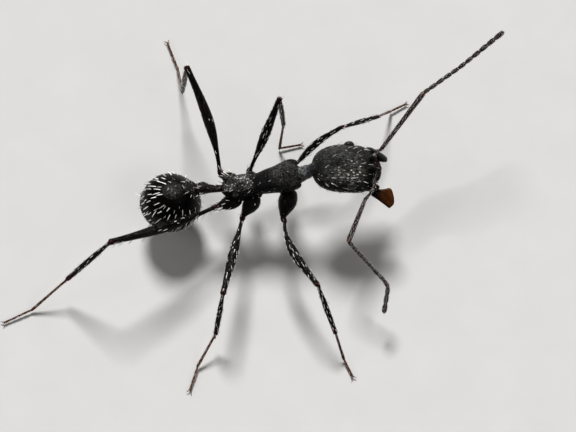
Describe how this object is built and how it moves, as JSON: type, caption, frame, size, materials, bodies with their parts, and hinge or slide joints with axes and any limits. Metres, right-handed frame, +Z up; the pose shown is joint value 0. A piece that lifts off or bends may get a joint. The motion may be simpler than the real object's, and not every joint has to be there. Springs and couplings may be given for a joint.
{
  "type": "ant",
  "caption": "Still, life-size model of a long-legged matte black worker ant standing on the floor with open jaws and raised feelers.",
  "frame": {"origin": "on the floor under the middle of the whole ant, legs and feelers included", "axes": "+X the way the ant faces, along its whole length; +Y its left side; +Z up"},
  "size_m": [0.0126, 0.0096, 0.0034],
  "materials": {
    "black_cuticle": "matte black insect cuticle, finely wrinkled on the head and granular on the trunk",
    "brown_cuticle": "dark reddish brown insect cuticle, slightly glossy",
    "feeler_cuticle": "brown-grey feeler cuticle under short pale down",
    "eye_facets": "glossy black compound eye with fine facets",
    "bristle": "stiff silvery white bristles"
  },
  "bodies": {
    "root": {"coxa_fore_left": "black_cuticle", "coxa_fore_right": "black_cuticle", "coxa_hind_left": "black_cuticle", "coxa_hind_right": "black_cuticle", "coxa_mid_left": "black_cuticle", "coxa_mid_right": "black_cuticle", "eye_left": "eye_facets", "eye_right": "eye_facets", "feeler_left_1": "feeler_cuticle", "feeler_left_2": "feeler_cuticle", "feeler_right_1": "feeler_cuticle", "feeler_right_2": "feeler_cuticle", "feeler_right_3": "feeler_cuticle", "femur_fore_left": "black_cuticle", "femur_fore_right": "black_cuticle", "femur_hind_left": "black_cuticle", "femur_hind_right": "black_cuticle", "femur_mid_left": "black_cuticle", "femur_mid_right": "black_cuticle", "foot_fore_left": "brown_cuticle", "foot_fore_right": "brown_cuticle", "foot_hind_left": "brown_cuticle", "foot_hind_right": "brown_cuticle", "foot_mid_left": "brown_cuticle", "foot_mid_right": "brown_cuticle", "gaster_front": "black_cuticle", "gaster_tip": "black_cuticle", "head": "black_cuticle", "mandible_left": "brown_cuticle", "mandible_right": "brown_cuticle", "mesonotum": "black_cuticle", "neck": "black_cuticle", "petiole": "black_cuticle", "postpetiole": "black_cuticle", "pronotum": "black_cuticle", "propodeum": "black_cuticle", "scape_left": "feeler_cuticle", "scape_right": "feeler_cuticle", "tibia_fore_left": "black_cuticle", "tibia_fore_right": "black_cuticle", "tibia_hind_left": "black_cuticle", "tibia_hind_right": "black_cuticle", "tibia_mid_left": "black_cuticle", "tibia_mid_right": "black_cuticle"}
  },
  "joints": []
}
